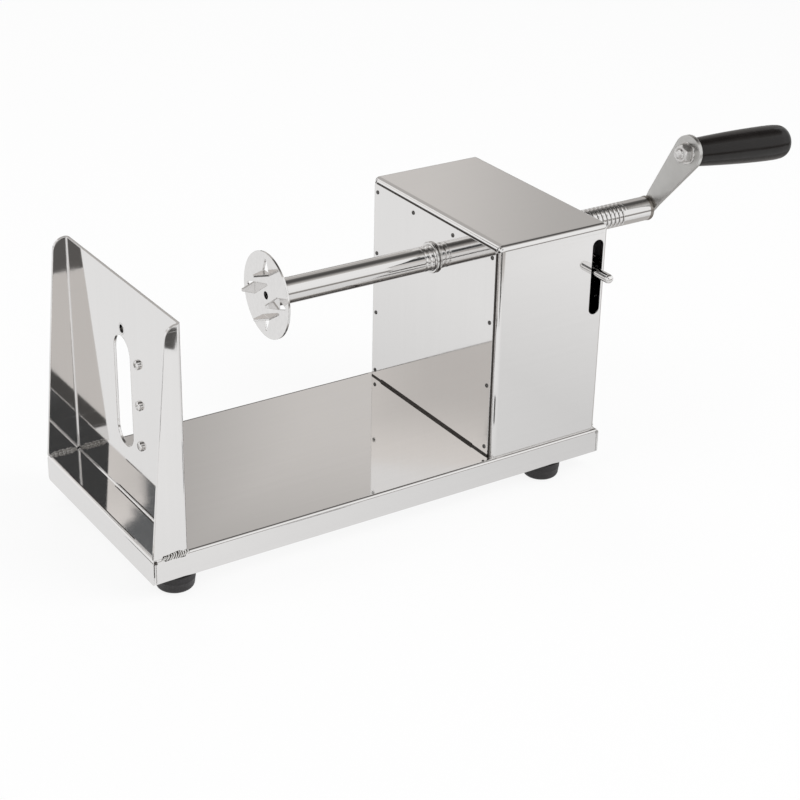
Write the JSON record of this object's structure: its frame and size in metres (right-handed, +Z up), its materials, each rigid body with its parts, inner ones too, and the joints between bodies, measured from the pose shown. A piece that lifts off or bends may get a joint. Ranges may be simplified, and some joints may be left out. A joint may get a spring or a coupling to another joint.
{
  "type": "hand cranked spiral potato cutter",
  "caption": "Hand cranked bench tool that feeds a potato on a skewer with a screw shaft against a fixed blade and cuts it into one long spiral.",
  "frame": {"origin": "middle of the bounding box's footprint, on the plane that the feet stand on", "axes": "+X along the feed shaft from the blade end to the crank, +Y toward the back, so that the lever sticks out toward -Y, +Z up"},
  "size_m": [0.5926, 0.1886, 0.2317],
  "materials": {
    "satin_tray": "fine brushed stainless",
    "polished_bracket": "bright polished stainless",
    "satin_box": "fine brushed stainless",
    "black_rubber": "matt black rubber",
    "bright_fasteners": "bright stainless",
    "knife_steel": "ground stainless",
    "turned_steel": "turned stainless",
    "milled_block": "milled",
    "bearing_brass": "turned",
    "polished_tube": "polished stainless",
    "mirror_disc": "mirror polished stainless",
    "satin_arm": "satin stainless",
    "black_gloss": "gloss black"
  },
  "bodies": {
    "machine": {"base_tray": "satin_tray", "blade_bracket": "polished_bracket", "housing_shell": "satin_box", "housing_left_panel": "satin_box", "housing_right_panel": "satin_box", "foot_front_left": "black_rubber", "foot_front_right": "black_rubber", "foot_rear_left": "black_rubber", "foot_rear_right": "black_rubber", "foot_screws": "bright_fasteners", "foot_washers": "bright_fasteners", "foot_nuts": "bright_fasteners", "blade_screws": "bright_fasteners", "left_panel_screws": "bright_fasteners", "right_panel_screws": "bright_fasteners", "housing_bolts": "bright_fasteners", "housing_nuts": "bright_fasteners", "post_screws_inner": "bright_fasteners", "post_screws_outer": "bright_fasteners", "blade": "knife_steel", "skewer_guide": "turned_steel", "guide_posts_upper": "turned_steel", "guide_posts_lower": "turned_steel", "guide_block": "milled_block", "left_bearing": "bearing_brass", "right_bearing": "bearing_brass"},
    "lever": {"cam_ring": "turned_steel", "lever_rod": "turned_steel"},
    "upper_jaw": {"upper_half_nut": "bearing_brass", "upper_pin": "turned_steel"},
    "lower_jaw": {"lower_half_nut": "bearing_brass", "lower_pin": "turned_steel"},
    "crank_sleeves": {"left_sleeve": "turned_steel", "left_ring": "turned_steel", "right_sleeve": "turned_steel", "right_ring": "turned_steel"},
    "feed_shaft": {"push_shaft": "polished_tube", "pusher_hub": "turned_steel", "shaft_plug": "turned_steel", "pusher_disc": "mirror_disc", "crank_arm": "satin_arm", "grip_spindle": "bright_fasteners", "spindle_nut": "bright_fasteners", "grip_washer": "bright_fasteners"},
    "crank_grip": {"grip": "black_gloss", "grip_cap": "black_gloss"}
  },
  "joints": [
    {"name": "lever_turn", "type": "hinge", "parent": "machine", "child": "lever", "pos_m": [0.06808, 0.00725, 0.1632], "axis": [-1, 0, 0], "range_deg": [-19, 14]},
    {"name": "upper_nut_slide", "type": "slide", "parent": "machine", "child": "upper_jaw", "axis": [0, 0, 1], "range_m": [-0.00173, 0.00127]},
    {"name": "lower_nut_slide", "type": "slide", "parent": "machine", "child": "lower_jaw", "axis": [0, 0, -1], "range_m": [-0.00173, 0.00127]},
    {"name": "crank_turn", "type": "hinge", "parent": "machine", "child": "crank_sleeves", "pos_m": [-0.01892, 0.00725, 0.1632], "axis": [-1, 0, 0], "range_deg": [-11520, 8280]},
    {"name": "shaft_feed", "type": "slide", "parent": "crank_sleeves", "child": "feed_shaft", "axis": [-1, 0, 0], "range_m": [-0.12801, 0.09201]},
    {"name": "grip_spin", "type": "hinge", "parent": "feed_shaft", "child": "crank_grip", "pos_m": [0.19017, -0.02708, 0.21792], "axis": [0.9936, 0.0602, -0.0959], "continuous": true}
  ],
  "couplings": [
    {"joint": "upper_nut_slide", "follows": "lever_turn", "m_per_rad": 0.0052087},
    {"joint": "lower_nut_slide", "follows": "lever_turn", "m_per_rad": 0.0052087},
    {"joint": "shaft_feed", "follows": "crank_turn", "m_per_rad": 0.00063662}
  ]
}
